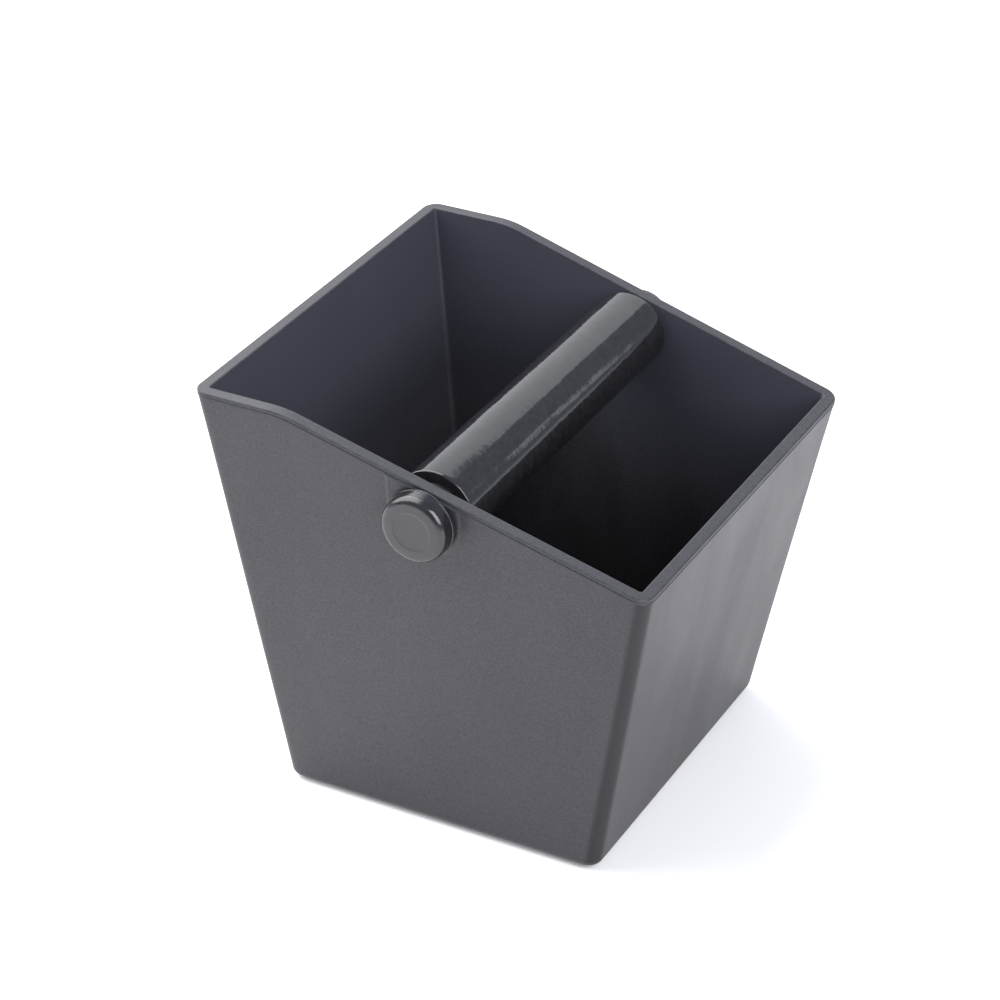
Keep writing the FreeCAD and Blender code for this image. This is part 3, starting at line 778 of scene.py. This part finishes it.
def seat_cutter(node):
    """A disc that leaves the seat of one foot in the underside."""
    low, high = box_mm(node)
    middle = (low + high) / 2
    radius = float(high[0] - low[0]) / 2 + FOOT_GAP
    profile = np.array([(-1.0, 0.0), (-1.0, radius), (float(high[2]), radius), (float(high[2]), 0.0)])
    return lathe("seat_cutter", profile, False, segments=72, axis="Z", centre=tuple(middle[:2]))


def apply_cuts(target, cutters):
    """Subtract the cutters, then remove them."""
    for cutter in cutters:
        modifier = target.modifiers.new("cut", "BOOLEAN")
        modifier.object = cutter
        modifier.operation = "DIFFERENCE"
        modifier.solver = "EXACT"
    evaluated = target.evaluated_get(bpy.context.evaluated_depsgraph_get())
    result = bpy.data.meshes.new_from_object(evaluated)
    target.modifiers.clear()
    target.data = result
    result.shade_smooth()
    result.set_sharp_from_angle(angle=math.radians(32.0))
    for cutter in cutters:
        bpy.data.objects.remove(cutter, do_unlink=True)


# ------------------------------------------------------------------ knock bar

def make_sleeve():
    """The rubber sleeve: slightly uneven along its length, with soft ends."""
    low, high = box_mm("bar_sleeve")
    radius = float(high[0] - low[0]) / 2
    inside = float(tube_high[0] - tube_low[0]) / 2
    start, end = float(low[1]), float(high[1])
    corners = [(start, inside, 0.25), (start, radius, 0.5), (end, radius, 0.5), (end, inside, 0.25)]
    profile = densify(rounded(corners, True, 8), True, 0.9)

    def shape(place, reach, angle):
        if reach < radius - 2:
            return place, reach
        spot = Vector((math.cos(angle) * 0.9, place * 0.055, math.sin(angle) * 0.9))
        slow = 0.5 + 0.5 * noise.noise(spot + Vector((5.2, 1.7, 9.3)))
        quick = 0.5 + 0.5 * noise.noise(spot * 3.3 + Vector((2.2, 8.1, 4.4)))
        return place, reach - SLEEVE_WAVE * slow - SLEEVE_RIPPLE * quick

    sleeve = lathe("sleeve_moulding", profile, True, segments=128, shape=shape)
    finish_piece(sleeve, "sleeve_rubber", "knock_bar", "bar_sleeve")


def make_tube():
    """The steel tube inside the sleeve."""
    radius = float(tube_high[0] - tube_low[0]) / 2
    inside = radius - TUBE_WALL
    start, end = float(tube_low[1]), float(tube_high[1])
    corners = [(start, inside, 0.2), (start, radius, 0.3), (end, radius, 0.3), (end, inside, 0.2)]
    profile = densify(rounded(corners, True, 3), True, 4.0)
    tube = lathe("tube_drawn", profile, True)
    finish_piece(tube, "tube_steel", "knock_bar", "bar_tube")


def ring(node, name, slot, body, inside, rounding):
    """A turned ring in the place of a CAD ring."""
    low, high = box_mm(node)
    radius = float(high[0] - low[0]) / 2
    start, end = float(low[1]), float(high[1])
    corners = [(along, reach, rounding) for along, reach in
               ((start, inside), (start, radius), (end, radius), (end, inside))]
    profile = densify(rounded(corners, True, 3), True, 0.6)
    made = lathe(name, profile, True)
    finish_piece(made, slot, body, node)


def thread_height(turns, depth):
    """Depth of a 60 degree thread's flank, 0 at the crest, for a place in turns."""
    share = turns - math.floor(turns)
    ramp = abs(share - 0.5) * 2
    return depth * min(1.0, max(0.0, (ramp - 0.12) / 0.66))


def make_insert(end, sign):
    """A brass insert with a real internal thread."""
    node = f"{end}_insert"
    low, high = box_mm(node)
    radius = float(high[0] - low[0]) / 2
    start, stop = float(low[1]), float(high[1])
    inside = SHANK_RADIUS + 0.08
    rows = int((stop - start) / (THREAD_PITCH / 10))
    bore = [(stop - (stop - start) * row / rows, inside) for row in range(rows + 1)]
    profile = np.array([(start, radius), (stop, radius)] + bore)

    def shape(place, reach, angle):
        if reach > inside + 0.01:
            return place, reach
        fade = min(1.0, min(place - start, stop - place) / 0.6)
        turns = sign * place / THREAD_PITCH + angle / (2 * math.pi)
        return place, inside + fade * (0.5 - thread_height(turns, 0.5))

    made = lathe(f"{end}_insert_turned", profile, True, segments=64, shape=shape)
    finish_piece(made, "insert_brass", "knock_bar", node)


def make_stud(end, sign, body, head_thick):
    """A stud with a real helical thread, a relieved neck and a knurled head."""
    node = f"{end}_stud"
    low, high = box_mm(node)
    tip, far = sorted(abs(float(value) - BAR_MIDDLE) for value in (low[1], high[1]))
    head_radius = float(high[0] - low[0]) / 2
    head_start = far - head_thick
    thread_end = min(head_start - 0.6, THREAD_END)
    rows = int((thread_end - tip) / (THREAD_PITCH / 12))
    profile = [(tip, 0.0)]
    for row in range(rows + 1):
        profile.append((tip + (thread_end - tip) * row / rows, SHANK_RADIUS))
    profile += [(thread_end + 0.25, NECK_RADIUS), (head_start, NECK_RADIUS)]
    head = np.array([(head_start, head_radius), (far, head_radius), (far, 0.0)])
    profile = np.vstack([np.array(profile), densify(head, False, 0.7)])

    def shape(place, reach, angle):
        if place <= thread_end + 1e-6 and reach > 3.5:
            run_in = min(1.0, (place - tip) / 1.0)
            run_out = min(1.0, (thread_end - place) / 0.5)
            turns = place / THREAD_PITCH + sign * angle / (2 * math.pi)
            cut = THREAD_DEPTH + (thread_height(turns, THREAD_DEPTH) - THREAD_DEPTH) * run_out
            return place, reach - cut - 0.55 * (1 - run_in) * (1 - cut / THREAD_DEPTH)
        if reach > head_radius - 0.4 and head_start < place < far:
            return place, reach - 0.12 * (0.5 + 0.5 * math.cos(angle * 32))
        return place, reach

    made = lathe(f"{end}_stud_threaded", profile, False, shape=shape)
    place_at_end(made, sign)
    finish_piece(made, "stud_steel", body, node)


def mirror_along_y(made):
    """Turn a piece made for the rear side into one for the front."""
    for vertex in made.data.vertices:
        vertex.co.y = -vertex.co.y
    made.data.flip_normals()


def move_along_y(made, distance):
    """Shift a piece's mesh by a distance in millimetres."""
    for vertex in made.data.vertices:
        vertex.co.y += distance * MM


def place_at_end(made, sign):
    """A piece turned at the rear, measured from the middle of the bar, goes to its own end."""
    if sign < 0:
        mirror_along_y(made)
    move_along_y(made, BAR_MIDDLE)


def socket(base, head_start, head_end):
    """Corners of the hollow for a stud's head and shank, and of the recess under the base."""
    floor = base + RECESS_DEPTH
    return [
        (head_end, 0.0, 0), (head_end, HEAD_RADIUS, 0.1), (head_start, HEAD_RADIUS, 0.1),
        (head_start, SHANK_RADIUS, 0.1), (floor, SHANK_RADIUS, 0.15), (floor, RECESS_RADIUS, 0.2),
        (base, RECESS_RADIUS, 0.15),
    ]


def make_knob():
    """The glossy knob: a thin base lip, a tapered flank, a rolled crown and a shallow dish."""
    low, high = box_mm("front_knob")
    radius = float(high[0] - low[0]) / 2
    base, face = BAR_MIDDLE - float(high[1]), BAR_MIDDLE - float(low[1])
    shoulder = radius - 0.25
    corners = socket(base, face - 4.8, face - 2.2) + [
        (base, radius, 0.3), (base + 0.9, radius, 0.28), (base + 1.0, shoulder, 0.12),
        (face - 0.12, shoulder - 0.3, 3.9), (face, 6.7, 0.5), (face - 0.14, 5.9, 0.5),
        (face - 0.18, 3.0, 3.0), (face - 0.2, 0.0, 0),
    ]
    profile = densify(rounded(corners, False, 9), False, 0.55)

    def worn(along, reach):
        crown = math.exp(-((reach - 8.6) / 1.2) ** 2) if along > face - 3.0 else 0.0
        lip = math.exp(-((along - base - 0.5) / 0.5) ** 2) if reach > radius - 0.4 else 0.0
        return max(crown * 0.7, lip * 0.8)

    made = lathe("front_knob_moulded", profile, False, segments=160, edge=worn)
    place_at_end(made, -1)
    finish_piece(made, "knob_gloss", "free_knob", "front_knob")


def make_cap():
    """The low rear cap: a plain disc with a rolled edge and a slight crown."""
    low, high = box_mm("rear_cap")
    radius = float(high[0] - low[0]) / 2
    base, face = float(low[1]) - BAR_MIDDLE, float(high[1]) - BAR_MIDDLE
    corners = socket(base, face - 2.8, face - 1.4) + [
        (base, radius, 0.3), (base + 0.7, radius, 0.2), (base + 0.8, radius - 0.15, 0.1),
        (face - 0.05, radius - 0.4, 2.4), (face - 0.01, 5.6, 4.0), (face, 0.0, 0),
    ]
    profile = densify(rounded(corners, False, 9), False, 0.55)

    def worn(along, reach):
        return 0.7 * math.exp(-((reach - radius + 1.0) / 0.8) ** 2) if along > face - 1.4 else 0.0

    made = lathe("rear_cap_moulded", profile, False, segments=144, edge=worn)
    place_at_end(made, 1)
    finish_piece(made, "knob_gloss", "knock_bar", "rear_cap")


def make_foot(node):
    """A stuck-on rubber foot: rounded edge and shallow rings in its underside."""
    low, high = box_mm(node)
    middle = (low + high) / 2
    radius = float(high[0] - low[0]) / 2
    top = float(high[2])
    corners = [(top, 0.0, 0), (top, radius, 0.25), (0.0, radius, 0.55)]
    for ring_radius in (5.6, 4.4, 3.2, 2.0):
        corners += [(0.0, ring_radius, 0.08), (0.3, ring_radius - 0.15, 0.08),
                    (0.3, ring_radius - 0.45, 0.08), (0.0, ring_radius - 0.6, 0.08)]
    corners.append((0.0, 0.0, 0))
    profile = densify(rounded(corners, False, 3), False, 0.8)
    made = lathe(f"{node}_moulded", profile, False, segments=72, axis="Z", centre=tuple(middle[:2]),
                 edge=lambda along, reach: 1.0 if along < 0.3 else 0.0)
    finish_piece(made, "foot_rubber", "box", node)


make_bucket()
make_sleeve()
make_tube()
for foot in FEET:
    make_foot(foot)
ends = (
    # end, side, body of the knob or cap, body of the washer, thickness of the stud's head
    ("front", -1, "free_knob", "turning_washer", 2.6),
    ("rear", 1, "knock_bar", "knock_bar", 1.4),
)
for end, sign, knob_body, washer_body, head_thick in ends:
    ring(f"{end}_spacer", f"{end}_spacer_turned", "spacer_steel", "knock_bar", SPACER_BORE, 0.15)
    ring(f"{end}_washer", f"{end}_washer_stamped", "washer_nylon", washer_body, WASHER_BORE, 0.12)
    make_insert(end, sign)
    make_stud(end, sign, knob_body, head_thick)
    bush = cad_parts[f"{end}_bush"]
    bush.data.materials.clear()
    bush.data.materials.append(MATERIALS["bush_nylon"])
make_knob()
make_cap()


# ------------------------------------------------------------------ stage, light and camera

def make_floor():
    """A wide flat floor, in squares."""
    size = 4000.0
    parts = 40
    steps = np.linspace(-size, size, parts + 1)
    points = [(x, y, 0.0) for y in steps for x in steps]
    faces = []
    for row in range(parts):
        for column in range(parts):
            first = row * (parts + 1) + column
            faces.append((first, first + 1, first + parts + 2, first + parts + 1))
    floor = make_object("floor", points, faces)
    floor.data.materials.append(floor_material())


def aim(made, place, target, roll=0.0):
    """Put a lamp or the camera at a place and turn it to a target."""
    place, target = Vector(place), Vector(target)
    turn = (target - place).to_track_quat("-Z", "Y").to_matrix().to_4x4()
    made.matrix_world = Matrix.Translation(place) @ turn @ Matrix.Rotation(roll, 4, "Z")


def soft_light(name, place, aimed_height, width, height, power):
    """A rectangular lamp that faces a point above the origin."""
    data = bpy.data.lights.new(name, "AREA")
    data.shape = "RECTANGLE"
    data.size, data.size_y = width, height
    data.energy = power
    made = bpy.data.objects.new(name, data)
    bpy.context.scene.collection.objects.link(made)
    aim(made, place, (0, 0, aimed_height))


def make_world():
    """Even, slightly cool light from all round."""
    world = bpy.data.worlds.new("studio")
    world.use_nodes = True
    background = world.node_tree.nodes["Background"]
    background.inputs["Color"].default_value = (0.84, 0.88, 1.06, 1.0)
    background.inputs["Strength"].default_value = 0.45
    bpy.context.scene.world = world


def make_camera():
    """The camera of the main view."""
    azimuth, elevation, roll = math.radians(29.103), math.radians(31.043), math.radians(-1.057)
    distance = 1.0604
    target = Vector((-0.019784, 0.016022 + BAR_MIDDLE * MM, 0.077759))
    direction = Vector((math.sin(azimuth) * math.cos(elevation), -math.cos(azimuth) * math.cos(elevation),
                        math.sin(elevation)))
    data = bpy.data.cameras.new("camera")
    data.sensor_width = 36.0
    data.lens = data.sensor_width * 3.19163
    data.clip_end = 50.0
    made = bpy.data.objects.new("camera", data)
    bpy.context.scene.collection.objects.link(made)
    aim(made, target + direction * distance, target, roll)
    bpy.context.scene.camera = made


make_floor()
make_world()
make_camera()
# each lamp's place, the height it faces, its width and height, and its power
soft_light("left_box", (-0.60, 0.02, 0.78), 0.05, 1.3, 1.3, 20.8)
soft_light("right_box", (0.84, -0.30, 0.70), 0.05, 0.8, 0.8, 11.0)
soft_light("back_box", (-0.43, 1.20, 0.66), 0.1, 1.42, 1.15, 5.4)
soft_light("streak_box", (0.94, 1.16, 0.37), 0.12, 0.07, 0.26, 0.06)
bpy.context.scene.view_settings.view_transform = "Standard"
